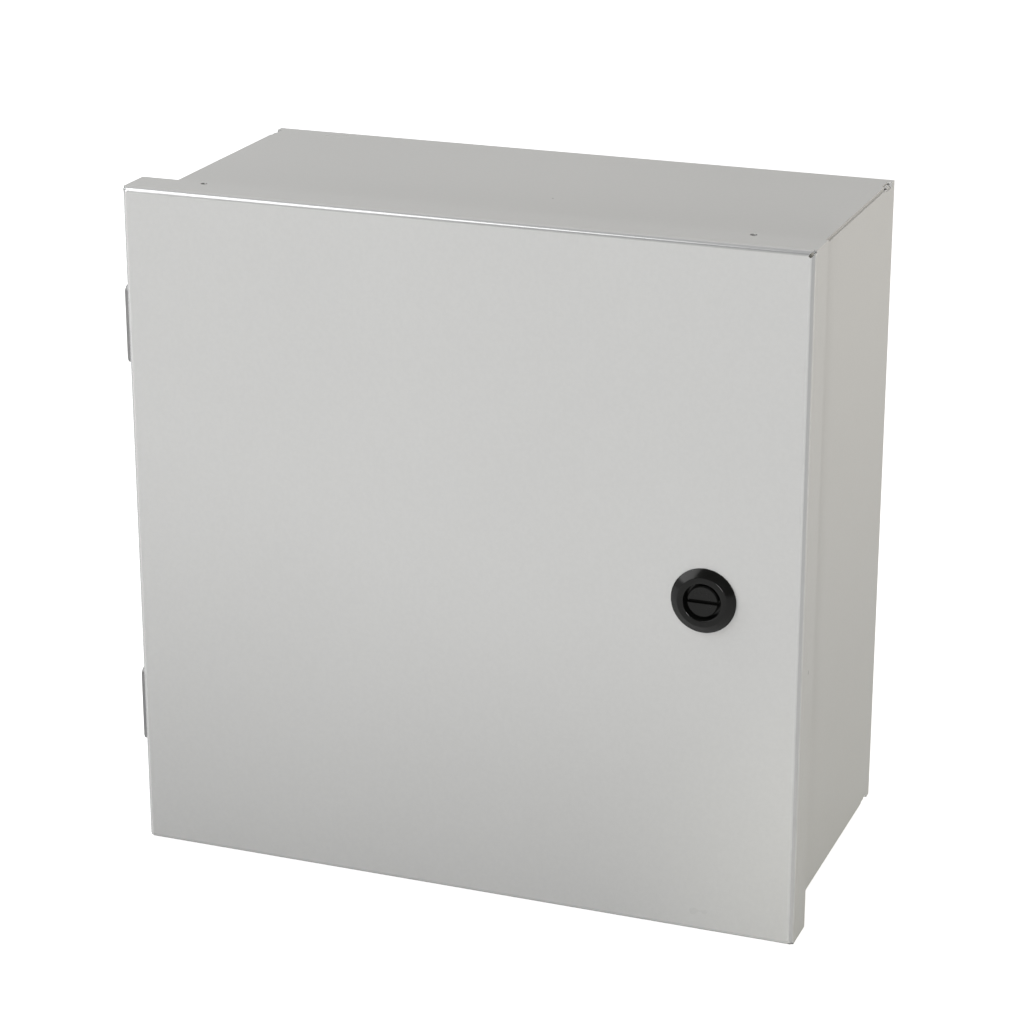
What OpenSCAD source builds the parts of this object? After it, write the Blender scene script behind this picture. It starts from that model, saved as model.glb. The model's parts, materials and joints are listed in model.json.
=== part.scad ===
// Wall-mounted electrical enclosure: a folded sheet-metal body with a flanged hinged door,
// a quarter-turn coin-slot latch and a mounting panel inside.
// Origin: centre of the back face. The back lies on y = 0, the door faces -Y and +Z is up.

/* [Door] */
// Width of the door, over its side flanges
door_w = 304.8; // [250:1:500]
// Height of the door, over its top and bottom flanges
door_h = 304.8; // [270:1:600]
// How far the door's flanges reach back from its front face
flange_depth = 20; // [16:0.5:30]
// Thickness of the folded sheet, door and body
sheet_t = 1.5; // [1.2:0.1:2]
// Radius inside every bend
bend_r = 1; // [0.5:0.1:1.6]
// Width of the relief slit at each front corner of the door
door_relief_w = 1.4; // [0.8:0.1:2]
// Length of that slit
door_relief_len = 3.9; // [2.4:0.1:4.5]
// Diameter of the two hang holes in the door's top flange
hang_hole_d = 3.2; // [2:0.1:5]
// Distance of each hang hole from the door's side
hang_hole_inset = 30.4; // [15:0.2:60]
// Distance of the hang holes from the rear edge of the flange
hang_hole_edge = 2.5; // [2:0.1:5]

/* [Body] */
// Depth from the wall to the front face of the door
depth = 152.4; // [100:1:300]
// How far the door stands out past the body on each side
overhang = 5.5; // [4.5:0.1:9]
// Gap between the door's inner face and the body's front lips
lip_gap = 1.3; // [0.8:0.1:3]
// Width of the lips that turn in around the front opening
lip_w = 15; // [12:0.5:22]
// Width of the slit between two lips at each corner
lip_slit = 0.8; // [0.4:0.1:2]
// Size of the open seam along each edge where two walls meet
seam = 1.1; // [0.5:0.1:1.2]
// Distance of the locating tab in each seam from the back
tab_from_back = 11.5; // [9:0.5:25]
// Length of the notch that holds the locating tab
tab_notch = 10; // [6:0.5:14]
// Width of that notch in each wall
tab_notch_w = 2.2; // [1.6:0.1:4]
// Length of the locating tab
tab_len = 3.5; // [2:0.5:5]

/* [Wall holes] */
// Distance between the wall holes, across
wall_hole_x = 241.3; // [150:0.1:242]
// Distance between the wall holes, up
wall_hole_z = 241.3; // [150:0.1:242]
// Diameter of the wall holes
wall_hole_d = 7.9; // [5:0.1:9]

/* [Mounting panel] */
// Gap between the panel and each side of the front opening
panel_margin = 17.6; // [14:0.2:30]
// Thickness of the panel
panel_t = 1.9; // [1.5:0.1:3]
// Distance of the panel's holes from its edges
panel_hole_inset = 9.5; // [8:0.5:20]
// Radius of the panel's corners
panel_corner_r = 4; // [2:0.5:8]
// How far the stud collars hold the panel off the back
collar_h = 10; // [6:0.5:20]
// Diameter of the stud collars
collar_d = 12; // [10:0.5:15]
// Length of the threaded end of each panel stud
stud_len = 12; // [10:0.5:20]

/* [Fasteners] */
// Diameter of the panel and earth studs
stud_d = 6; // [5:0.5:8]
// Size of the stud nuts across their flats
nut_af = 10; // [9.5:0.5:11]
// Thickness of the stud nuts
nut_t = 5; // [3:0.5:6.5]
// Diameter of the stud washers
washer_d = 12.5; // [11:0.5:14]
// Thickness of the stud washers
washer_t = 1.6; // [1:0.1:2]
// Length of the body's earth stud
earth_stud_len = 18; // [15:0.5:20]
// Height of the body's earth stud above the inside of the bottom wall
earth_stud_rise = 15; // [10:0.5:18]
// Length of the door's earth stud
door_stud_len = 14; // [12:0.5:16]
// Distance of the door's earth stud from the hinge side and from the bottom of the door
door_stud_inset = 48; // [42:0.5:70]

/* [Hinges] */
// Height of each hinge
hinge_h = 35; // [28:0.5:60]
// Distance of the upper hinge's middle from the top of the door
hinge_top_inset = 62; // [50:0.2:90]
// Distance of the lower hinge's middle from the bottom of the door
hinge_bottom_inset = 64.4; // [50:0.2:90]
// Thickness of the hinge leaves
leaf_t = 2; // [1.5:0.1:2.3]
// Length of each leaf's flat, away from the barrel
leaf_len = 17; // [14:0.2:22]
// Radius of the leaves' outer corners
leaf_corner_r = 3; // [1:0.2:5]
// Gap between the barrel and the wall beside it
barrel_gap = 0.4; // [0.3:0.1:0.8]
// Play between the pin and the knuckles, all round
pin_play = 0.05; // [0.02:0.01:0.1]
// Gap between one knuckle and the next
knuckle_gap = 0.4; // [0.3:0.1:1]
// Diameter of the rivets
rivet_d = 3.2; // [2.4:0.1:4]
// Height of the rivet heads
rivet_head_h = 1; // [0.6:0.1:1.4]
// Distance between the two rivets of a leaf
rivet_pitch = 20; // [14:0.5:22]

/* [Latch] */
// Distance of the latch from the free edge of the door
latch_inset = 42.4; // [38:0.2:60]
// Diameter of the latch's bezel
bezel_d = 28.2; // [27:0.2:34]
// How far the bezel stands out of the door
bezel_h = 3; // [2:0.1:5]
// Diameter of the flat ring on top of the bezel
bezel_flat_d = 21.6; // [18.5:0.2:25]
// Diameter of the recess around the plug
recess_d = 16.4; // [15:0.1:17.5]
// Diameter of the plug's head
plug_d = 13.8; // [12.5:0.1:14.4]
// Chamfer round the plug's face
plug_edge = 0.5; // [0.2:0.1:0.9]
// Chamfer round the mouth of the recess
recess_edge = 0.3; // [0.1:0.1:0.6]
// How far the plug's face lies below the bezel's top
plug_sink = 0.9; // [0:0.1:2]
// Width of the coin slot
coin_slot_w = 1.6; // [1.2:0.1:3]
// Depth of the coin slot
coin_slot_depth = 2.2; // [1:0.1:2.6]
// Diameter of the plug's shaft
shaft_d = 11; // [9:0.2:12]
// Play between the shaft and the housing, all round
shaft_play = 0.08; // [0.02:0.01:0.1]
// Diameter of the threaded neck
neck_d = 22; // [20:0.2:23]
// Size of the neck across its two flats
neck_af = 20; // [17.5:0.2:20.6]
// Length of the neck behind the door's front face
neck_len = 13; // [11:0.5:18]
// Size of the latch nut across its flats
latch_nut_af = 27; // [26:0.5:30]
// Thickness of the latch nut
latch_nut_t = 4.5; // [3:0.5:6]
// Thickness of the seal under the bezel
seal_t = 0.8; // [0.5:0.1:1.2]
// Distance of the seal from the bezel's edge
seal_inset = 1; // [0.6:0.1:1.5]
// Thickness of the cam
cam_t = 2; // [1.5:0.1:3]
// Width of the cam
cam_w = 16; // [14:0.5:20]
// Radius inside the cam's two bends
cam_bend_r = 1.8; // [0.5:0.1:2]
// How far the cam reaches behind the lip when it is turned
cam_catch = 8; // [4:0.5:9]
// Gap between the cam and the lip when it is turned
cam_gap = 0.6; // [0.3:0.1:1.5]
// Size of the square end that drives the cam
square_af = 8; // [7:0.1:8.4]

/* [Hidden] */

$fn = 64;
// Extra length of a cutting shape past the face it cuts
past = 1;
// Overlap of two shapes that become one
lap = 0.1;
// Fit between the latch's pieces, all round
fit = 0.1;
// Fit of a hole round a stud or rivet, all round
hole_fit = 0.05;
// Clearance of a washer's hole, all round
washer_fit = 0.2;

// Outer radius of every bend
bend_out = bend_r + sheet_t;
// Front face of the door
front = -depth;
// Inner face of the door
door_in = front + sheet_t;
// Rear edge of the door's flanges
flange_end = front + flange_depth;
// Front face of the body's lips
lip_front = door_in + lip_gap;
// Rear face of the body's lips
lip_back = lip_front + sheet_t;
// Inner face of the body's back
back_in = -sheet_t;
// Outer size of the body
body_w = door_w - 2 * overhang;
body_h = door_h - 2 * overhang;
// Opening between the lips
open_w = body_w - 2 * lip_w;
open_h = body_h - 2 * lip_w;

// Size of the panel, and the places of its studs
panel_w = open_w - 2 * panel_margin;
panel_h = open_h - 2 * panel_margin;
stud_x = panel_w / 2 - panel_hole_inset;
stud_z = panel_h / 2 - panel_hole_inset;
// Faces of the panel
panel_back = back_in - collar_h;
panel_front = panel_back - panel_t;
// Clearance hole of the panel round a stud
panel_hole_d = stud_d + 1;
// Foot of a welded stud
foot_d = stud_d + 2;
foot_t = 0.8;
// Holes of a stud's nut and washer
stud_bore = stud_d + 2 * hole_fit;
washer_bore = stud_d + 2 * washer_fit;
// Chamfer at the end of a stud, and at the corners of a nut
stud_chamfer = 0.7;
// Place of the earth stud above the middle
earth_z = -body_h / 2 + sheet_t + earth_stud_rise;
// Place of the door's earth stud
door_stud_x = -door_w / 2 + door_stud_inset;
door_stud_z = -door_h / 2 + door_stud_inset;

// Heights of the hinges' middles above the middle of the door
hinge_upper_z = door_h / 2 - hinge_top_inset;
hinge_lower_z = -door_h / 2 + hinge_bottom_inset;
// Outer radius of the hinge barrel: the leaves lie on the door's flange and on the body's side
barrel_r = (overhang + leaf_t - barrel_gap) / 2;
// Radius of the hole in the knuckles, and of the pin
knuckle_r = barrel_r - leaf_t;
pin_r = knuckle_r - pin_play;
// Hinge axis
hinge_x = -door_w / 2 - leaf_t + barrel_r;
hinge_y = flange_end + barrel_gap + barrel_r;
// Height of one of the three knuckles
knuckle_h = (hinge_h - 2 * knuckle_gap) / 3;
// Distance from the hinge axis to the flat of a leaf
leaf_start = barrel_r + barrel_gap;
// Distance from the hinge axis to the rivets
rivet_y = leaf_start + leaf_len / 2;
// Size of a rivet's head and of its closed end
rivet_head_d = 1.9 * rivet_d;
rivet_tail_d = 1.5 * rivet_d;
rivet_tail_h = 1.6;
// Head of a hinge pin, its tapered tip, and how far the tip stands out below
pin_head_r = pin_r + 1;
pin_head_h = 1;
pin_tip = pin_r / 3;
pin_out = 0.8;

// Place of the latch
latch_x = door_w / 2 - latch_inset;
// Height of the plug's face above the door's front face
plug_top = bezel_h - plug_sink;
// Height of the bezel's straight rim
bezel_rim = 0.9;
// How far the recess round the plug reaches behind the door's front face
recess_below = 2;
// Radius of the seal
seal_r = bezel_d / 2 - seal_inset;
// Rear end of the neck
neck_end = front + neck_len;
// Play along the axis at each end of the neck
end_play = 0.3;
// Faces of the cam at its hub and at its tip
cam_front = neck_end + end_play;
cam_back = cam_front + cam_t;
tip_front = lip_back + cam_gap;
tip_back = tip_front + cam_t;
// Distance from the latch to the lip, to the leg of the cam and to its tip
lip_reach = latch_inset - overhang - lip_w;
nut_clearance = 1;
leg_r = latch_nut_af / 2 / cos(30) + nut_clearance;
// Turn of the latch's nut about its own axis
latch_nut_turn = 30;
tip_r = lip_reach + cam_catch;
// Screw and washer that hold the cam
cam_screw_d = 6;
cam_screw_head = 10;
cam_screw_head_h = 4;
cam_screw_len = 9;
cam_washer_d = 13;
cam_washer_t = 1.4;
// Height of the cam washer's seat behind the front face of the door
washer_seat = cam_back - front;

paint = [0.78, 0.78, 0.77];
zinc = [0.72, 0.73, 0.74];
dark_steel = [0.25, 0.25, 0.26];
black = [0.10, 0.10, 0.10];
panel_white = [0.88, 0.88, 0.86];

// Outline of a folded sheet box: w wide, from y0 back to y1, with round front corners, and
// round rear corners where rear is true
module bent_outline(w, y0, y1, r, rear) {
    y_end = rear ? y1 - r : y1;
    for (side = [-1, 1]) {
        translate([side * (w / 2 - r), y0 + r]) circle(r);
        if (rear) translate([side * (w / 2 - r), y_end]) circle(r);
    }
    translate([-w / 2 + r, y0]) square([w - 2 * r, y1 - y0]);
    translate([-w / 2, y0 + r]) square([w, y_end - y0 - r]);
}

// Block with the rounding of four bends round its front, and round its back where rear is true
module bent_block(w, h, y0, y1, r, rear) {
    intersection() {
        translate([0, 0, -h / 2]) linear_extrude(h) bent_outline(w, y0, y1, r, rear);
        rotate([0, 90, 0]) translate([0, 0, -w / 2]) linear_extrude(w) bent_outline(h, y0, y1, r, rear);
    }
}

// A cylinder along Y from y0 back to y1
module y_cylinder(r, y0, y1) {
    translate([0, y1, 0]) rotate([90, 0, 0]) cylinder(r = r, h = y1 - y0);
}

// The children at the four corners of a rectangle in the X-Z plane
module corners(x, z) {
    for (sx = [-1, 1], sz = [-1, 1]) translate([sx * x, 0, sz * z]) children();
}

// Four mirrored copies, one for each quarter round the Y axis
module quarters() {
    for (sx = [0, 1], sz = [0, 1]) mirror([sx, 0, 0]) mirror([0, 0, sz]) children();
}

// The open seam along one edge of the body, with the notch for the locating tab
module seam_cut() {
    cut = seam + past;
    notch = tab_notch_w + past;
    notch_y = -tab_from_back - tab_notch / 2;
    tab = notch + past;
    translate([body_w / 2 - seam, lip_front - past, body_h / 2 - seam])
        cube([cut, notch_y - lip_front + 2 * past, cut]);
    difference() {
        translate([body_w / 2 - tab_notch_w, notch_y, body_h / 2 - tab_notch_w])
            cube([notch, tab_notch, notch]);
        translate([body_w / 2 - seam / 2 - tab, -tab_from_back - tab_len / 2, body_h / 2 - seam / 2 - tab])
            cube([tab, tab_len, tab]);
    }
}

// The slit between two lips at one corner of the front opening
module lip_mitre() {
    run = 2 * lip_w;
    translate([open_w / 2, 0, open_h / 2])
        rotate([0, -45, 0])
            translate([-run / 2, lip_front - past, -lip_slit / 2])
                cube([run / 2 + (lip_w - bend_out) * sqrt(2), sheet_t + 2 * past, lip_slit]);
}

// Body: back, four walls and four front lips folded from one sheet
module body_shell() {
    color(paint)
        difference() {
            bent_block(body_w, body_h, lip_front, 0, bend_out, true);
            bent_block(body_w - 2 * sheet_t, body_h - 2 * sheet_t, lip_back, back_in, bend_r, true);
            translate([-open_w / 2, lip_front - past, -open_h / 2])
                cube([open_w, sheet_t + 2 * past, open_h]);
            quarters() {
                seam_cut();
                lip_mitre();
            }
            corners(wall_hole_x / 2, wall_hole_z / 2) y_cylinder(wall_hole_d / 2, back_in - past, past);
            for (z = [hinge_upper_z, hinge_lower_z])
                at_rivets(z, 1) rivet_hole();
        }
}

// Slit with round ends through a front corner of the door, where two bends meet
module relief_slit() {
    r = door_relief_w / 2;
    straight = door_relief_len - door_relief_w;
    through = 6 * bend_out;
    translate([door_w / 2, front, door_h / 2])
        rotate([0, 45, 0]) rotate([atan(1 / sqrt(2)), 0, 0]) {
            cube([door_relief_w, straight, through], center = true);
            for (side = [-1, 1])
                translate([0, side * straight / 2, 0]) cylinder(r = r, h = through, center = true);
        }
}

// Door: front plate and four flanges folded from one sheet, corners welded
module door() {
    neck_hole = neck_d / 2 + 2 * fit;
    neck_flat = neck_af + 4 * fit;
    color(paint)
        difference() {
            bent_block(door_w, door_h, front, flange_end, bend_out, false);
            bent_block(door_w - 2 * sheet_t, door_h - 2 * sheet_t, door_in, flange_end + past, bend_r, false);
            quarters() relief_slit();
            for (side = [-1, 1])
                translate([side * (door_w / 2 - hang_hole_inset), flange_end - hang_hole_edge, door_h / 2])
                    cylinder(d = hang_hole_d, h = 4 * sheet_t, center = true);
            translate([latch_x, 0, 0])
                intersection() {
                    y_cylinder(neck_hole, front - past, door_in + past);
                    translate([-neck_flat / 2, front - past, -neck_hole])
                        cube([neck_flat, sheet_t + 2 * past, 2 * neck_hole]);
                }
            for (z = [hinge_upper_z, hinge_lower_z])
                at_rivets(z, -1) rivet_hole();
        }
}

// Places of a leaf's two rivets: to = 1 for the body's leaf and -1 for the door's
module at_rivets(z, to) {
    x = to == 1 ? -body_w / 2 : -door_w / 2;
    for (dz = [-1, 1])
        translate([x, hinge_y + to * rivet_y, z + dz * rivet_pitch / 2]) rotate([0, 90, 0]) children();
}

// Hole for one rivet through a leaf and a wall
module rivet_hole() {
    cylinder(r = rivet_d / 2 + hole_fit, h = 4 * (leaf_t + sheet_t), center = true);
}

// Blind rivet along +Z: its domed head lies on the leaf and its closed end behind the wall
module rivet() {
    head_r = rivet_head_d / 2;
    dome_r = (head_r * head_r + rivet_head_h * rivet_head_h) / (2 * rivet_head_h);
    translate([0, 0, -leaf_t]) {
        intersection() {
            translate([0, 0, dome_r - rivet_head_h]) sphere(dome_r);
            translate([0, 0, -rivet_head_h]) cylinder(r = head_r, h = rivet_head_h);
        }
        cylinder(d = rivet_d, h = leaf_t + sheet_t);
        translate([0, 0, leaf_t + sheet_t]) cylinder(d = rivet_tail_d, h = rivet_tail_h);
    }
}

// Flat of a leaf, seen from the side: to = 1 runs back from the hinge axis and -1 runs forward
module leaf_outline(to) {
    r = leaf_corner_r;
    mirror([0, to == 1 ? 0 : 1]) {
        translate([-hinge_h / 2, leaf_start]) square([hinge_h, leaf_len - r]);
        translate([-hinge_h / 2 + r, leaf_start]) square([hinge_h - 2 * r, leaf_len]);
        for (side = [-1, 1])
            translate([side * (hinge_h / 2 - r), leaf_start + leaf_len - r]) circle(r);
    }
}

// One knuckle and the tongue that joins it to its leaf, from z0 up to z1 beside the hinge axis
module knuckle(z0, z1, to) {
    x = to == 1 ? barrel_r + barrel_gap - leaf_t : -barrel_r;
    translate([0, 0, z0])
        difference() {
            union() {
                cylinder(r = barrel_r, h = z1 - z0);
                translate([x, to == 1 ? 0 : -leaf_start - lap, 0])
                    cube([leaf_t, leaf_start + lap, z1 - z0]);
            }
            translate([0, 0, -past]) cylinder(r = knuckle_r, h = z1 - z0 + 2 * past);
        }
}

// Leaf of the hinge on the body's side, with the two outer knuckles
module hinge_body_leaf(z) {
    color(dark_steel)
        difference() {
            translate([hinge_x, hinge_y, z]) {
                translate([barrel_r + barrel_gap - leaf_t, 0, 0])
                    rotate([0, 90, 0]) linear_extrude(leaf_t) leaf_outline(1);
                for (up = [0, 1]) mirror([0, 0, up]) knuckle(knuckle_h / 2 + knuckle_gap, hinge_h / 2, 1);
            }
            at_rivets(z, 1) rivet_hole();
        }
}

// Leaf of the hinge on the door's flange, with the middle knuckle
module hinge_door_leaf(z) {
    color(dark_steel)
        difference() {
            translate([hinge_x, hinge_y, z]) {
                translate([-barrel_r, 0, 0])
                    rotate([0, 90, 0]) linear_extrude(leaf_t) leaf_outline(-1);
                knuckle(-knuckle_h / 2, knuckle_h / 2, -1);
            }
            at_rivets(z, -1) rivet_hole();
        }
}

module hinge_body_leaf_upper() { hinge_body_leaf(hinge_upper_z); }
module hinge_body_leaf_lower() { hinge_body_leaf(hinge_lower_z); }
module hinge_door_leaf_upper() { hinge_door_leaf(hinge_upper_z); }
module hinge_door_leaf_lower() { hinge_door_leaf(hinge_lower_z); }

// Pin that pulls out upwards to free the door
module hinge_pin(z) {
    low = -hinge_h / 2 - pin_out;
    high = hinge_h / 2;
    color(zinc)
        translate([hinge_x, hinge_y, z])
            rotate_extrude()
                polygon([
                    [0, low], [pin_r - pin_tip, low], [pin_r, low + pin_tip], [pin_r, high],
                    [pin_head_r, high], [pin_head_r, high + pin_head_h], [0, high + pin_head_h]
                ]);
}

module hinge_pin_upper() { hinge_pin(hinge_upper_z); }
module hinge_pin_lower() { hinge_pin(hinge_lower_z); }

module body_leaf_rivets() {
    color(zinc)
        for (z = [hinge_upper_z, hinge_lower_z]) at_rivets(z, 1) rivet();
}

module door_leaf_rivets() {
    color(zinc)
        for (z = [hinge_upper_z, hinge_lower_z]) at_rivets(z, -1) rivet();
}

// Stud along +Z with a chamfered end, and a foot of radius base_r and height base_h
module stud(len, base_r, base_h) {
    r = stud_d / 2;
    rotate_extrude()
        polygon([
            [0, 0], [base_r, 0], [base_r, base_h], [r, base_h],
            [r, len - stud_chamfer], [r - stud_chamfer, len], [0, len]
        ]);
}

// Hexagon along +Z, af across its flats, with its corners turned off at both ends
module hexagon(af, t) {
    corner_r = af / 2 / cos(30);
    turned = corner_r - af / 2;
    intersection() {
        cylinder(r = corner_r, h = t, $fn = 6);
        rotate_extrude()
            polygon([
                [0, 0], [af / 2, 0], [corner_r + turned, turned],
                [corner_r + turned, t - turned], [af / 2, t], [0, t]
            ]);
    }
}

// Hexagon nut along +Z
module hex_nut(af, t, bore) {
    difference() {
        hexagon(af, t);
        translate([0, 0, -past]) cylinder(d = bore, h = t + 2 * past);
    }
}

// Flat washer along +Z
module washer(d, t, bore) {
    difference() {
        cylinder(d = d, h = t);
        translate([0, 0, -past]) cylinder(d = bore, h = t + 2 * past);
    }
}

// Collar studs pressed into the back
module panel_studs() {
    color(zinc)
        corners(stud_x, stud_z) translate([0, back_in, 0]) rotate([90, 0, 0])
            stud(collar_h + stud_len, collar_d / 2, collar_h);
}

// Flat panel that the equipment is fastened to
module back_panel() {
    r = panel_corner_r;
    color(panel_white)
        difference() {
            translate([0, panel_back, 0]) rotate([90, 0, 0]) linear_extrude(panel_t) {
                for (sx = [-1, 1], sz = [-1, 1])
                    translate([sx * (panel_w / 2 - r), sz * (panel_h / 2 - r)]) circle(r);
                square([panel_w - 2 * r, panel_h], center = true);
                square([panel_w, panel_h - 2 * r], center = true);
            }
            corners(stud_x, stud_z) y_cylinder(panel_hole_d / 2, panel_front - past, panel_back + past);
        }
}

module panel_washers() {
    color(zinc)
        corners(stud_x, stud_z) translate([0, panel_front, 0]) rotate([90, 0, 0])
            washer(washer_d, washer_t, washer_bore);
}

module panel_nuts() {
    color(zinc)
        corners(stud_x, stud_z) translate([0, panel_front - washer_t, 0]) rotate([90, 0, 0])
            hex_nut(nut_af, nut_t, stud_bore);
}

// Earth stud welded inside the back, below the panel
module at_earth() {
    translate([0, back_in, earth_z]) rotate([90, 0, 0]) children();
}

module earth_stud() {
    color(zinc) at_earth() stud(earth_stud_len, foot_d / 2, foot_t);
}

module earth_washer() {
    color(zinc) at_earth() translate([0, 0, foot_t]) washer(washer_d, washer_t, washer_bore);
}

module earth_nut() {
    color(zinc) at_earth() translate([0, 0, foot_t + washer_t]) hex_nut(nut_af, nut_t, stud_bore);
}

// Earth stud welded to the inside of the door
module at_door_stud() {
    translate([door_stud_x, door_in, door_stud_z]) rotate([-90, 0, 0]) children();
}

module door_earth_stud() {
    color(zinc) at_door_stud() stud(door_stud_len, foot_d / 2, foot_t);
}

module door_earth_washer() {
    color(zinc) at_door_stud() translate([0, 0, foot_t]) washer(washer_d, washer_t, washer_bore);
}

module door_earth_nut() {
    color(zinc) at_door_stud() translate([0, 0, foot_t + washer_t]) hex_nut(nut_af, nut_t, stud_bore);
}

// Places a shape drawn along +Z so that it points out of the door, from its front face
module at_latch() {
    translate([latch_x, front, 0]) rotate([90, 0, 0]) children();
}

// Half section of the bezel: a seat for the seal behind, a straight rim, a bevel and a flat ring
function bezel_section() = [
    [0, 0], [neck_d / 2 + fit, 0], [neck_d / 2 + fit, seal_t], [seal_r + fit, seal_t], [seal_r + fit, 0],
    [bezel_d / 2, 0], [bezel_d / 2, bezel_rim], [bezel_flat_d / 2, bezel_h], [0, bezel_h]
];

// Half section of the hollow in the housing: the recess for the plug and the bore for its shaft
function hollow_section() = [
    [0, -neck_len - past], [shaft_d / 2 + shaft_play, -neck_len - past],
    [shaft_d / 2 + shaft_play, -recess_below], [recess_d / 2, -recess_below],
    [recess_d / 2, bezel_h - recess_edge], [recess_d / 2 + recess_edge + past, bezel_h + past],
    [0, bezel_h + past]
];

// Bevelled bezel with a flatted, threaded neck behind it
module latch_housing() {
    color(black)
        at_latch()
            difference() {
                union() {
                    rotate_extrude() polygon(bezel_section());
                    intersection() {
                        translate([0, 0, -neck_len]) cylinder(d = neck_d, h = neck_len + lap);
                        translate([-neck_af / 2, -neck_d, -neck_len])
                            cube([neck_af, 2 * neck_d, neck_len + lap]);
                    }
                }
                rotate_extrude() polygon(hollow_section());
            }
}

// Flat rubber ring between the bezel and the door
module latch_seal() {
    color(black)
        at_latch() washer(2 * seal_r, seal_t, neck_d + 1);
}

// Nut of the latch, tightened with two of its flats upright
module latch_nut() {
    color(zinc)
        at_latch() translate([0, 0, -sheet_t - latch_nut_t]) rotate(latch_nut_turn)
            hex_nut(latch_nut_af, latch_nut_t, neck_d + 2 * hole_fit);
}

// Half section of the plug's head and shaft
function plug_section() = [
    [0, -neck_len - end_play], [shaft_d / 2, -neck_len - end_play],
    [shaft_d / 2, end_play - recess_below], [plug_d / 2, end_play - recess_below],
    [plug_d / 2, plug_top - plug_edge], [plug_d / 2 - plug_edge, plug_top], [0, plug_top]
];

// Slotted plug with its shaft and the square end that turns the cam
module latch_plug() {
    square_end = end_play - washer_seat;
    square_len = -neck_len - square_end;
    color(black)
        at_latch()
            difference() {
                union() {
                    rotate_extrude() polygon(plug_section());
                    intersection() {
                        translate([-square_af / 2, -square_af / 2, square_end])
                            cube([square_af, square_af, square_len]);
                        translate([0, 0, square_end]) cylinder(d = shaft_d, h = square_len);
                    }
                }
                translate([-plug_d, -coin_slot_w / 2, plug_top - coin_slot_depth])
                    cube([2 * plug_d, coin_slot_w, coin_slot_depth + past]);
                translate([0, 0, square_end - past])
                    cylinder(d = cam_screw_d + 2 * hole_fit, h = cam_screw_len + past);
            }
}

// Quarter of the ring of a bend, r inside and t thick: to = 1 or -1 picks the quarter
module bend_ring(r, t, to) {
    intersection() {
        difference() {
            circle(r + t);
            circle(r);
        }
        translate([to == 1 ? 0 : -r - t, to == 1 ? 0 : -r - t]) square(r + t);
    }
}

// Side view of the cam, a strip with two bends: hub, leg and tip
module cam_side() {
    r = cam_bend_r;
    leg_start = tip_back + r;
    leg_end = cam_front - r;
    tip_start = leg_r + cam_t + r;
    translate([-cam_w / 2, cam_front]) square([cam_w / 2 + leg_r - r, cam_t]);
    translate([leg_r - r, leg_end]) bend_ring(r, cam_t, 1);
    translate([leg_r, leg_start]) square([cam_t, leg_end - leg_start]);
    translate([tip_start, leg_start]) bend_ring(r, cam_t, -1);
    translate([tip_start, tip_front]) square([tip_r - tip_start, cam_t]);
}

// Front view of the cam: a round hub and a tip with round corners
module cam_front_view() {
    r = cam_w / 4;
    circle(cam_w / 2);
    translate([-cam_w / 2, -tip_r + r]) square([cam_w, tip_r - r]);
    translate([-cam_w / 2 + r, -tip_r]) square([cam_w - 2 * r, tip_r]);
    for (side = [-1, 1]) translate([side * (cam_w / 2 - r), -tip_r + r]) circle(r);
}

// Cam: it hangs down when the door is free and turns towards the free edge to lock it
module latch_cam() {
    hole = square_af + 2 * fit;
    depth_all = cam_back - tip_front;
    color(zinc)
        translate([latch_x, 0, 0])
            difference() {
                intersection() {
                    rotate([0, 90, 0]) translate([0, 0, -cam_w / 2]) linear_extrude(cam_w) cam_side();
                    translate([0, cam_back + past, 0]) rotate([90, 0, 0])
                        linear_extrude(depth_all + 2 * past) cam_front_view();
                }
                translate([-hole / 2, cam_front - past, -hole / 2]) cube([hole, cam_t + 2 * past, hole]);
            }
}

module cam_washer() {
    color(zinc)
        at_latch() translate([0, 0, -washer_seat - cam_washer_t])
            washer(cam_washer_d, cam_washer_t, cam_screw_d + 2 * washer_fit);
}

// Hexagon screw that holds the cam on the square
module cam_screw() {
    seat = washer_seat + cam_washer_t;
    color(zinc)
        at_latch() {
            translate([0, 0, -seat - cam_screw_head_h]) hexagon(cam_screw_head, cam_screw_head_h);
            translate([0, 0, -seat - cam_screw_head_h / 2])
                cylinder(d = cam_screw_d, h = cam_screw_head_h / 2 + cam_screw_len);
        }
}

body_shell();
panel_studs();
back_panel();
panel_washers();
panel_nuts();
earth_stud();
earth_washer();
earth_nut();
hinge_body_leaf_upper();
hinge_body_leaf_lower();
hinge_pin_upper();
hinge_pin_lower();
body_leaf_rivets();
door();
hinge_door_leaf_upper();
hinge_door_leaf_lower();
door_leaf_rivets();
latch_housing();
latch_seal();
latch_nut();
door_earth_stud();
door_earth_washer();
door_earth_nut();
latch_plug();
latch_cam();
cam_washer();
cam_screw();
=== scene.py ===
"""Looks of a wall-mounted electrical enclosure: its finishes, threads, rivets and welds, the light and the
camera."""

import json
import math

import bmesh
import bpy
from mathutils import Matrix, Vector


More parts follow.
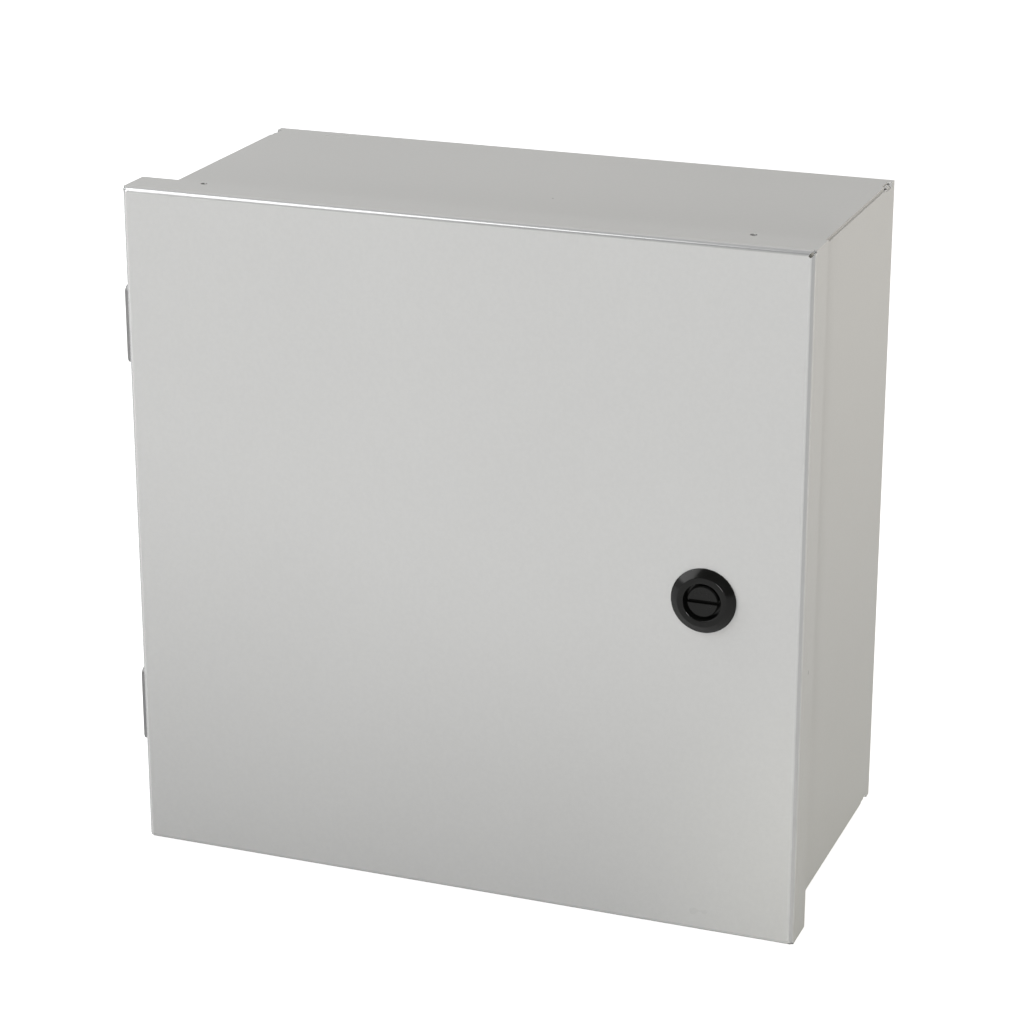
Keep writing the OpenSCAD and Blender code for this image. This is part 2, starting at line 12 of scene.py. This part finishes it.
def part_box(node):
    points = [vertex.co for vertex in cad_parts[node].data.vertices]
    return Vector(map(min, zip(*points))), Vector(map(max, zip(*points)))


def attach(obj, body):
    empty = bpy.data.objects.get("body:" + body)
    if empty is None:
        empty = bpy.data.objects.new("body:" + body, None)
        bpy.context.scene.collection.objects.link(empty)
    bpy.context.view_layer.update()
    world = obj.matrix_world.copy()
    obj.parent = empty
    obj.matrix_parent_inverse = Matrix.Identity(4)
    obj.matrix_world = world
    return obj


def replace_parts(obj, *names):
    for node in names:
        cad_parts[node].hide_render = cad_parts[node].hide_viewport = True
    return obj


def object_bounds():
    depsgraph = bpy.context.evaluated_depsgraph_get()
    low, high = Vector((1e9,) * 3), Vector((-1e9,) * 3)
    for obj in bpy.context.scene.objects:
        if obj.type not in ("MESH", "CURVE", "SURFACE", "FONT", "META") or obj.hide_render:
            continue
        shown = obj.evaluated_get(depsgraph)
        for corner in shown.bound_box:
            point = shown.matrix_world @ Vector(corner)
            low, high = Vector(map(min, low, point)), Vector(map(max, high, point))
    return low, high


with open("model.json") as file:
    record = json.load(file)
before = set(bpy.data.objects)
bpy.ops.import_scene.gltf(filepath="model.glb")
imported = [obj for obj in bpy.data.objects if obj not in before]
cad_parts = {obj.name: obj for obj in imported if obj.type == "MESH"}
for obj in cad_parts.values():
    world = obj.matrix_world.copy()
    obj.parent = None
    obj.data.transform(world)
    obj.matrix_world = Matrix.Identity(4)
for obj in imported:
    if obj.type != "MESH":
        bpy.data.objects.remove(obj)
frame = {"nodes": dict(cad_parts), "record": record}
cad_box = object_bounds()
nodes = frame["nodes"]
MM = 0.001

# Camera at the photograph's viewing angle: place in metres, angles in degrees, lens for a 36 mm sensor
CAMERA_PLACE = (0.4557, -1.2910, 0.4639)
CAMERA_YAW = 20.71
CAMERA_PITCH = 19.70
CAMERA_LENS = 108.37
SENSOR = 36

# Turns of a piece's axis, +Z, so that it points out of the front, into the depth or to the latch side
OUTWARDS = Matrix.Rotation(math.radians(90), 4, "X")
INWARDS = Matrix.Rotation(math.radians(-90), 4, "X")
TO_LATCH_SIDE = Matrix.Rotation(math.radians(90), 4, "Y")
SHARP_ANGLE = 32

# Sides of the turned pieces, and rows of faces to a thread's pitch
STUD_SIDES, RIVET_SIDES, HOUSING_SIDES = 32, 40, 128
THREAD_ROWS = 8

# Studs in mm: thread, bare stretch under it, rounded edge of the foot, and each one's length with the radius
# and height of its foot
STUD_R, STUD_PITCH, STUD_THREAD, STUD_CHAMFER = 3.0, 1.0, 0.55, 0.7
STUD_BARE, FOOT_EDGE = 0.6, 0.25
PANEL_STUD_SHAPE = (22, 6, 10)
EARTH_STUD_SHAPE = (18, 4, 0.8)
DOOR_STUD_SHAPE = (14, 4, 0.8)

# The latch's housing in mm: its neck's thread and half the width over the flats, the radius of its mouth and
# of its bore, and the heights of the neck's end and of the thread's ends
NECK_R, NECK_PITCH, NECK_THREAD, NECK_FLAT = 11.0, 1.5, 0.8, 10.0
MOUTH_R, BORE_R = 8.5, 5.58
NECK_END, THREAD_LOW, THREAD_HIGH = -13, -12.6, -1.6

# Places of the turned pieces in mm, the distance between a leaf's two rivets, and the radius of their dome
BACK_IN, PANEL_STUD, EARTH_Z = -1.5, 104.8, -130.4
DOOR_STUD = (-104.4, -150.9, -104.4)
LATCH_PLACE = (110, -152.4, 0)
HINGES_Z = (90.4, -88.0)
RIVET_PITCH = 20
RIVET_DOME = 5.12

# X and Y of the rivets in mm, and the body that they ride on
RIVETS = {
    "body_leaf_rivets": (-149.9, -115.95, "body"),
    "door_leaf_rivets": (-155.4, -140.95, "door"),
}

# Welds in the slits of three front corners of the door, in mm: the corners' sides in X and Z, the slit,
# the door's outer bend and its sheet, how far a weld stands proud and how many times wider than the slit it
# is, its rings as shares of its width, and the steps in which a point on the bend is found
WELDED = ((-1, 1), (-1, -1), (1, -1))
SLIT_W, SLIT_LEN, BEND_OUT, SHEET_T = 1.4, 3.9, 2.5, 1.5
WELD_PROUD, WELD_WIDER, WELD_SIDES = 0.02, 1.02, 28
WELD_RINGS = (1, 0.75, 0.5, 0.25)
HALVINGS = 30

# Paint: its grain to the metre, how far its fine tone shifts, and its gloss
GRAIN = 620
FINE_TONE = 0.045
PAINT_GLOSS = 0.35

# Bends: where painted shade darkens them, partly standing for thinner paint, and where they get a smoother
# coat, as cosines of the angle from the nearest axis, the upward part of the normal under which a bend gets
# neither, and the coat itself
BEND_SHADE_FROM, BEND_SHADE_TO = 0.995, 0.84
COAT_FROM, COAT_TO = 0.999, 0.96
BEND_MASK_OFF_BELOW, BEND_MASK_ON_ABOVE = -0.35, -0.10
BEND_SMOOTHER = 0.06
COAT_ROUGHNESS = 0.15
BEND_IOR = 3.1

# Floor: a disc under the object
FLOOR_Z = cad_box[0].z
FLOOR_RADIUS = 8
FLOOR_SIDES = 96
FLOOR_COLOUR = (0.55, 0.55, 0.55, 1)
FLOOR_LIFT = 0.90
FLOOR_GLOSS_LIFT = 0.55

# World: ambient level, and what gloss sees: a pale studio with a darker side, behind the camera
AMBIENT = (0.15, 0.15, 0.15, 1)
WHITE = (1, 1, 1, 1)
GLOSS_LEVEL = 0.65
DARK_SIDE = (0.333, -0.881, 0.337)
DARK_LEVEL = 0.10

# Soft boxes: place, what it points at, width and height, power in watts, colour
BOXES = {
    "key_left": ((-1.13, -0.85, 1.10), (0, -0.1, 0), (1.15, 1.8), 18.8, (1, 1, 1)),
    "back_left": ((-1.60, 1.00, 0.60), (0, 0, 0), (0.8, 0.8), 13, (0.94, 0.98, 1)),
    "back_right": ((1.20, 0.80, 0.70), (0, 0, 0), (1.0, 1.0), 3.1, (1, 0.93, 0.56)),
}

# Spots with soft edges: place, what it points at, full angle, blend, radius, power in watts, colour
SPOTS = {
    "front": ((0.60, -2.20, 0.30), (0.16, -0.152, 0.96), 62.7, 0.17, 0.17, 102, (1, 1, 1)),
    "right": ((2.00, 0.20, 0.90), (0.147, 0.05, 1.09), 73, 0.33, 0.22, 66, (1, 0.94, 0.93)),
    "strip": ((0.90, -2.00, 0.50), (0.195, -0.152, -0.12), 6, 1.0, 0.04, 32, (1, 1, 0.9)),
}


def make_camera():
    data = bpy.data.cameras.new("camera")
    data.sensor_width = SENSOR
    data.lens = CAMERA_LENS
    data.clip_start = 0.01
    camera = bpy.data.objects.new("camera", data)
    camera.location = CAMERA_PLACE
    camera.rotation_euler = (math.radians(90 - CAMERA_PITCH), 0, math.radians(CAMERA_YAW))
    bpy.context.scene.collection.objects.link(camera)
    bpy.context.scene.camera = camera


class Nodes:
    """Makes and links the nodes of one shader tree."""

    def __init__(self, tree):
        self.tree = tree
        tree.nodes.clear()

    def add(self, kind, inputs=None, **settings):
        """A node with its settings, and its inputs set to values or linked from sockets."""
        node = self.tree.nodes.new(kind)
        for name, value in settings.items():
            setattr(node, name, value)
        for name, value in (inputs or {}).items():
            if isinstance(value, bpy.types.NodeSocket):
                self.tree.links.new(value, node.inputs[name])
            else:
                node.inputs[name].default_value = value
        return node

    def math(self, operation, a, b):
        return self.add("ShaderNodeMath", {0: a, 1: b}, operation=operation).outputs[0]

    def noise(self, scale, detail=2.0, roughness=0.5, stretch=(1, 1, 1)):
        """Noise in the object's own coordinates, with scale features to the metre."""
        place = self.add("ShaderNodeTexCoord").outputs["Object"]
        moved = self.add("ShaderNodeMapping", {"Vector": place, "Scale": stretch}).outputs["Vector"]
        inputs = {"Vector": moved, "Scale": scale, "Detail": detail, "Roughness": roughness}
        return self.add("ShaderNodeTexNoise", inputs).outputs["Fac"]

    def spread(self, value, low, high):
        """value, from 0 to 1, spread over low to high."""
        return self.add("ShaderNodeMapRange", {"Value": value, "To Min": low, "To Max": high}).outputs[0]

    def step(self, value, start, end):
        """0 before start and 1 past end, with a smooth way between."""
        inputs = {"Value": value, "From Min": start, "From Max": end}
        return self.add("ShaderNodeMapRange", inputs, interpolation_type="SMOOTHSTEP").outputs[0]

    def blend(self, factor, a, b):
        """Colour a where factor is 0 and b where it is 1."""
        node = self.add("ShaderNodeMix", data_type="RGBA")
        for socket, value in ((node.inputs[0], factor), (node.inputs[6], a), (node.inputs[7], b)):
            if isinstance(value, bpy.types.NodeSocket):
                self.tree.links.new(value, socket)
            else:
                socket.default_value = value
        return node.outputs[2]

    def bump(self, height, strength, distance):
        inputs = {"Height": height, "Strength": strength, "Distance": distance}
        return self.add("ShaderNodeBump", inputs).outputs["Normal"]

    def off_axis(self, start, end):
        """0 where the surface faces down, or along an axis of the object, and 1 on other bends and round
        stretches. start and end are the cosines of the angle from the nearest axis where it leaves 0 and
        reaches 1."""
        normal = self.add("ShaderNodeTexCoord").outputs["Normal"]
        absolute = self.add("ShaderNodeVectorMath", {0: normal}, operation="ABSOLUTE").outputs[0]
        parts = self.add("ShaderNodeSeparateXYZ", {0: absolute}).outputs
        largest = self.math("MAXIMUM", self.math("MAXIMUM", parts[0], parts[1]), parts[2])
        upwards = self.add("ShaderNodeSeparateXYZ", {0: normal}).outputs[2]
        off = self.step(largest, start, end)
        return self.math("MULTIPLY", off, self.step(upwards, BEND_MASK_OFF_BELOW, BEND_MASK_ON_ABOVE))

    def surface(self, **inputs):
        """The principled shader with these inputs, as the material's surface."""
        named = {name.replace("_", " "): value for name, value in inputs.items()}
        shader = self.add("ShaderNodeBsdfPrincipled", named).outputs[0]
        self.add("ShaderNodeOutputMaterial", {"Surface": shader})


def material(name):
    made = bpy.data.materials.new(name)
    made.use_nodes = True
    return made, Nodes(made.node_tree)


def paint(name, colour, tone_and_bend_shade_colour, roughness):
    """Powder coat: slow shifts of tone, fine orange peel, and round the bends painted shade, partly thinner
    paint, with a glossier coat.
    """
    made, n = material(name)
    darker = tuple(c * 0.985 for c in colour[:3]) + (1,)
    base = n.blend(n.step(n.noise(9, detail=3), 0.25, 0.75), colour, darker)
    fine = n.noise(GRAIN, detail=2, roughness=0.6)
    base = n.blend(n.math("MULTIPLY", n.step(fine, 0.30, 0.70), FINE_TONE), base, tone_and_bend_shade_colour)
    # Painted shade: bends that don't face down are darkened towards the darker colour, which partly stands
    # for thinner paint there.
    base = n.blend(n.off_axis(BEND_SHADE_FROM, BEND_SHADE_TO), base, tone_and_bend_shade_colour)
    coated = n.off_axis(COAT_FROM, COAT_TO)
    peel = n.bump(fine, 0.10, 0.04 * MM)
    rough = n.spread(n.noise(40, detail=2), roughness - 0.015, roughness + 0.02)
    rough = n.math("SUBTRACT", rough, n.math("MULTIPLY", coated, BEND_SMOOTHER))
    n.surface(Base_Color=base, Roughness=rough, Specular_IOR_Level=PAINT_GLOSS, Normal=peel,
              Coat_Weight=coated, Coat_Roughness=COAT_ROUGHNESS, Coat_IOR=BEND_IOR)
    return made


def plated(name, colour, tint, roughness, metallic=1.0):
    """Plated steel: patches of tint, fine drawn lines, dull flecks."""
    made, n = material(name)
    base = n.blend(n.step(n.noise(70, detail=4), 0.35, 0.70), colour, tint)
    dull = tuple(c * 0.7 for c in colour[:3]) + (1,)
    base = n.blend(n.math("MULTIPLY", n.step(n.noise(900, detail=3), 0.55, 0.75), 0.5), base, dull)
    lines = n.noise(700, detail=3, stretch=(1, 1, 6))
    rough = n.spread(lines, roughness - 0.07, roughness + 0.12)
    n.surface(Base_Color=base, Metallic=metallic, Roughness=rough, Normal=n.bump(lines, 0.15, 0.02 * MM))
    return made


def moulded(name, colour, worn_colour, roughness, grain_scale, specular=0.5):
    """Black cast or moulded finish: fine grain, with random patches rubbed a little lighter."""
    made, n = material(name)
    patch = n.step(n.noise(140, detail=3), 0.40, 0.70)
    base = n.blend(n.math("MULTIPLY", patch, 0.5), colour, worn_colour)
    fine = n.noise(grain_scale, detail=3, roughness=0.6)
    rough = n.spread(n.noise(400, detail=2), roughness - 0.05, roughness + 0.06)
    n.surface(Base_Color=base, Roughness=rough, Specular_IOR_Level=specular,
              Normal=n.bump(fine, 0.12, 0.03 * MM))
    return made


def make_materials():
    """One material for each slot of the record."""
    # The second colour of each paint is both the target of its fine tone shifts and the painted shade on its
    # bends.
    grey, grey_tone_and_bend_shade = (0.600, 0.600, 0.590, 1), (0.31, 0.315, 0.315, 1)
    black, worn_black = (0.006, 0.006, 0.0055, 1), (0.009, 0.009, 0.0085, 1)
    rubber, worn_rubber = (0.015, 0.015, 0.015, 1), (0.030, 0.029, 0.028, 1)
    return {
        "body_paint": paint("body_paint", grey, grey_tone_and_bend_shade, 0.28),
        "door_paint": paint("door_paint", grey, grey_tone_and_bend_shade, 0.28),
        "panel_paint": paint("panel_paint", (0.80, 0.80, 0.77, 1), (0.62, 0.62, 0.60, 1), 0.36),
        "zinc_steel": plated("zinc_steel", (0.62, 0.63, 0.65, 1), (0.66, 0.63, 0.55, 1), 0.32),
        "dark_steel": plated("dark_steel", (0.240, 0.240, 0.245, 1), (0.280, 0.278, 0.275, 1), 0.42, 0.6),
        "latch_black": moulded("latch_black", black, worn_black, 0.17, 1500, specular=0.25),
        "seal_rubber": moulded("seal_rubber", rubber, worn_rubber, 0.75, 2200),
    }


def dress_nodes(materials):
    """Gives every node the material of its slot in the record."""
    for part in frame["record"]["subparts"]:
        mesh = nodes[part["node"]].data
        mesh.materials.clear()
        mesh.materials.append(materials[part["material_slot"]])


def make_piece(name, bm, slot, body):
    """The object of that mesh, which has the slot's material and rides on the body."""
    bmesh.ops.recalc_face_normals(bm, faces=bm.faces)
    mesh = bpy.data.meshes.new(name)
    bm.to_mesh(mesh)
    bm.free()
    mesh.shade_smooth()
    mesh.set_sharp_from_angle(angle=math.radians(SHARP_ANGLE))
    mesh.materials.append(materials[slot])
    piece = bpy.data.objects.new(name, mesh)
    bpy.context.scene.collection.objects.link(piece)
    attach(piece, body)
    return piece


def turned(name, profile, sides, places, slot, body, closed=False, shaped=None):
    """A turned piece in the place of the CAD node of that name. profile is its half section in mm, from
    one end to the other, or all round where closed is true. places are matrices that put its axis, +Z,
    on the object, and shaped(radius, height, angle) may change each radius."""
    bm = bmesh.new()
    for place in places:
        rings = []
        for r, h in profile:
            ring = []
            for i in range(sides):
                angle = 2 * math.pi * i / sides
                size = shaped(r, h, angle) if shaped else r
                point = Vector((size * math.cos(angle), size * math.sin(angle), h)) * MM
                ring.append(bm.verts.new(place @ point))
            rings.append(ring)
        joins = list(zip(rings, rings[1:]))
        if closed:
            joins.append((rings[-1], rings[0]))
        else:
            bm.faces.new(rings[0])
            bm.faces.new(rings[-1])
        for low, high in joins:
            for i in range(sides):
                j = (i + 1) % sides
                bm.faces.new((low[i], low[j], high[j], high[i]))
    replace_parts(make_piece(name + "_turned", bm, slot, body), name)


def heights(start, end, step):
    """Evenly spaced heights from start to end, no further apart than step."""
    count = math.ceil((end - start) / step)
    return [start + (end - start) * k / count for k in range(count + 1)]


def thread_cut(height, angle, pitch, depth):
    """How much a right-hand thread takes off the radius at this height and angle. Its crest and root are
    each flat over a tenth of the pitch."""
    turn = (height / pitch - angle / (2 * math.pi)) % 1
    return depth * min(1, max(0, 1.25 * abs(2 * turn - 1) - 0.125))


def stud(name, length, base_r, base_h, places, body):
    """Stud with a rolled thread, and a collar or foot of radius base_r and height base_h."""
    thread_start, thread_end = base_h + STUD_BARE, length - STUD_CHAMFER
    profile = [(base_r - FOOT_EDGE, 0), (base_r, FOOT_EDGE), (base_r, base_h - FOOT_EDGE),
               (base_r - FOOT_EDGE, base_h), (STUD_R, base_h)]
    profile += [(STUD_R, h) for h in heights(thread_start, thread_end, STUD_PITCH / THREAD_ROWS)]
    profile += [(STUD_R - STUD_CHAMFER, length)]

    def shaped(r, h, angle):
        if not thread_start <= h <= thread_end:
            return r
        run_out = min(1, (h - thread_start) / STUD_PITCH)
        return r - run_out * thread_cut(h, angle, STUD_PITCH, STUD_THREAD)

    turned(name, profile, STUD_SIDES, places, "zinc_steel", body, shaped=shaped)


def studs():
    """The four collar studs that hold the panel, and the earth studs of the body and the door."""
    panel = [Matrix.Translation((sx * PANEL_STUD * MM, BACK_IN * MM, sz * PANEL_STUD * MM)) @ OUTWARDS
             for sx in (-1, 1) for sz in (-1, 1)]
    stud("panel_studs", *PANEL_STUD_SHAPE, panel, "body")
    earth = Matrix.Translation(Vector((0, BACK_IN, EARTH_Z)) * MM) @ OUTWARDS
    stud("earth_stud", *EARTH_STUD_SHAPE, [earth], "body")
    door_earth = Matrix.Translation(Vector(DOOR_STUD) * MM) @ INWARDS
    stud("door_earth_stud", *DOOR_STUD_SHAPE, [door_earth], "door")


def rivets():
    """Blind rivets: a domed head with the broken mandrel in it, and the swollen end behind the wall."""
    profile = [(0.80, 0.42), (0.90, 0.36), (0.95, 0.12), (1.02, 0.06)]
    profile += [(r, RIVET_DOME - math.sqrt(RIVET_DOME ** 2 - r ** 2))
                for r in (1.3, 1.7, 2.1, 2.45, 2.75, 2.95)]
    profile += [(3.04, 0.96), (3.02, 1.0), (1.60, 1.0), (1.60, 4.5), (2.15, 4.5), (2.36, 4.66), (2.40, 4.95),
                (2.40, 5.60), (2.25, 5.85), (1.90, 6.02), (1.30, 6.10), (1.05, 6.04), (0.90, 6.00)]
    for name, (x, y, body) in RIVETS.items():
        places = [Matrix.Translation(Vector((x, y, z + side * RIVET_PITCH / 2)) * MM) @ TO_LATCH_SIDE
                  for z in HINGES_Z for side in (-1, 1)]
        turned(name, profile, RIVET_SIDES, places, "zinc_steel", body)


def latch_housing():
    """Bevelled bezel with a seat for the seal, and a flatted neck with a fine thread."""
    neck = [(NECK_R - 0.5, NECK_END)]
    neck += [(NECK_R, h) for h in heights(THREAD_LOW, THREAD_HIGH, NECK_PITCH / THREAD_ROWS)]
    seat = [(NECK_R, 0.0), (NECK_R + 0.1, 0.8), (13.2, 0.8), (13.2, 0.0), (14.0, 0.0), (14.1, 0.10)]
    bezel = [(14.1, 0.80), (14.07, 0.90), (13.98, 0.98), (10.92, 2.93), (10.80, 2.99), (10.66, 3.0)]
    mouth = [(MOUTH_R, 3.0), (8.36, 2.96), (8.24, 2.84), (8.20, 2.70), (8.20, -2.0), (BORE_R, -2.0),
             (BORE_R, NECK_END)]

    def shaped(r, h, angle):
        if h >= 0 or r <= BORE_R:
            return r
        if THREAD_LOW <= h <= THREAD_HIGH:
            r -= thread_cut(h, angle, NECK_PITCH, NECK_THREAD)
        return min(r, NECK_FLAT / max(abs(math.cos(angle)), 0.01)) if r > MOUTH_R else r

    place = Matrix.Translation(Vector(LATCH_PLACE) * MM) @ OUTWARDS
    turned("latch_housing", neck + seat + bezel + mouth, HOUSING_SIDES, [place], "latch_black", "door",
           closed=True, shaped=shaped)


def on_bend(start, direction, core, radius):
    """Where the line from start, against direction, meets the sheet's face: radius away from the core, the
    block that all the door's bends are round."""
    near, far = 0.0, -4 * BEND_OUT
    for _ in range(HALVINGS):
        middle = (near + far) / 2
        point = start + direction * middle
        if Vector([max(abs(p) - core, 0) for p in point]).length > radius:
            near = middle
        else:
            far = middle
    return start + direction * near


def weld(bm, corner, core):
    """Fills the slit at that corner with a plug that follows both faces of the bent sheet."""
    outwards = corner.normalized()
    along = Vector((corner.x, -2 * corner.y, corner.z)).normalized()
    across = outwards.cross(along)
    faces = []
    for radius in (BEND_OUT + WELD_PROUD, BEND_OUT - SHEET_T - WELD_PROUD):
        rings = []
        for share in WELD_RINGS:
            ring = []
            for i in range(WELD_SIDES):
                angle = 2 * math.pi * (i + 0.5) / WELD_SIDES
                x = SLIT_W / 2 * math.cos(angle)
                y = SLIT_W / 2 * math.sin(angle) + math.copysign((SLIT_LEN - SLIT_W) / 2, math.sin(angle))
                start = corner + (across * x + along * y) * share * WELD_WIDER
                ring.append(bm.verts.new(on_bend(start, outwards, core, radius) * MM))
            rings.append(ring)
        bm.faces.new(rings[-1])
        faces.append(rings)
    outer, inner = faces
    for low, high in [*zip(outer, outer[1:]), *zip(inner, inner[1:]), (outer[0], inner[0])]:
        for i in range(WELD_SIDES):
            j = (i + 1) % WELD_SIDES
            bm.faces.new((low[i], low[j], high[j], high[i]))


def corner_welds():
    """The welds in the door's corner slits. The upper one on the latch side is open, as the photo shows."""
    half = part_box("door")[1].x / MM
    bm = bmesh.new()
    for side_x, side_z in WELDED:
        weld(bm, Vector((side_x, -1, side_z)) * half, half - BEND_OUT)
    make_piece("corner_welds", bm, "door_paint", "door")


def make_floor():
    """A pale floor that the camera sees as white with the object's shadow, and gloss as a paler grey."""
    bm = bmesh.new()
    bmesh.ops.create_circle(bm, cap_ends=True, segments=FLOOR_SIDES, radius=FLOOR_RADIUS)
    mesh = bpy.data.meshes.new("floor")
    bm.to_mesh(mesh)
    bm.free()
    floor = bpy.data.objects.new("floor", mesh)
    floor.location.z = FLOOR_Z
    bpy.context.scene.collection.objects.link(floor)
    made, n = material("floor")
    mottle = n.blend(n.noise(3, detail=2), FLOOR_COLOUR, tuple(c * 0.98 for c in FLOOR_COLOUR[:3]) + (1,))
    plain = n.add("ShaderNodeBsdfDiffuse", {"Color": mottle}).outputs[0]
    glossy = n.add("ShaderNodeLightPath").outputs["Is Glossy Ray"]
    level = n.spread(glossy, FLOOR_LIFT, FLOOR_GLOSS_LIFT)
    lift = n.add("ShaderNodeEmission", {"Color": WHITE, "Strength": level}).outputs[0]
    lifted = n.add("ShaderNodeAddShader", {0: plain, 1: lift}).outputs[0]
    mixed = n.add("ShaderNodeMixShader", {0: seen_ray(n), 1: plain, 2: lifted}).outputs[0]
    n.add("ShaderNodeOutputMaterial", {"Surface": mixed})
    mesh.materials.append(made)


def seen_ray(n):
    """1 for a ray of the camera, or one that a glossy or clear surface sends on."""
    path = n.add("ShaderNodeLightPath").outputs
    seen = n.math("MAXIMUM", path["Is Camera Ray"], path["Is Glossy Ray"])
    return n.math("MAXIMUM", seen, path["Is Transmission Ray"])


def make_world():
    """A dim world that the camera sees as white, and gloss as a pale studio with a darker side."""
    world = bpy.data.worlds.new("studio")
    world.use_nodes = True
    bpy.context.scene.world = world
    n = Nodes(world.node_tree)
    away = n.add("ShaderNodeTexCoord").outputs["Generated"]
    product = n.add("ShaderNodeVectorMath", {0: away, 1: DARK_SIDE}, operation="DOT_PRODUCT")
    towards = product.outputs["Value"]
    glossy_level = n.spread(n.step(towards, 0.25, 0.80), GLOSS_LEVEL, DARK_LEVEL)
    path = n.add("ShaderNodeLightPath").outputs
    drop = n.math("MULTIPLY", n.math("SUBTRACT", 1.0, glossy_level), path["Is Glossy Ray"])
    level = n.math("SUBTRACT", 1.0, drop)
    seen = n.add("ShaderNodeBackground", {"Color": WHITE, "Strength": level}).outputs[0]
    ambient = n.add("ShaderNodeBackground", {"Color": AMBIENT, "Strength": 1.0}).outputs[0]
    mixed = n.add("ShaderNodeMixShader", {0: seen_ray(n), 1: ambient, 2: seen}).outputs[0]
    n.add("ShaderNodeOutputWorld", {"Surface": mixed})


def hang(data, place, target, power, colour):
    """Puts a lamp in its place and turns it to its target."""
    data.energy = power
    data.color = colour
    lamp = bpy.data.objects.new(data.name, data)
    lamp.location = place
    lamp.rotation_euler = (Vector(target) - Vector(place)).to_track_quat("-Z", "Y").to_euler()
    bpy.context.scene.collection.objects.link(lamp)


def make_lamps():
    for name, (place, target, size, power, colour) in BOXES.items():
        data = bpy.data.lights.new(name, "AREA")
        data.shape = "RECTANGLE"
        data.size, data.size_y = size
        hang(data, place, target, power, colour)
    for name, (place, target, angle, blend, radius, power, colour) in SPOTS.items():
        data = bpy.data.lights.new(name, "SPOT")
        data.spot_size = math.radians(angle)
        data.spot_blend = blend
        data.shadow_soft_size = radius
        hang(data, place, target, power, colour)


make_camera()
materials = make_materials()
dress_nodes(materials)
studs()
rivets()
latch_housing()
corner_welds()
make_floor()
make_world()
make_lamps()
bpy.context.scene.view_settings.view_transform = "Standard"
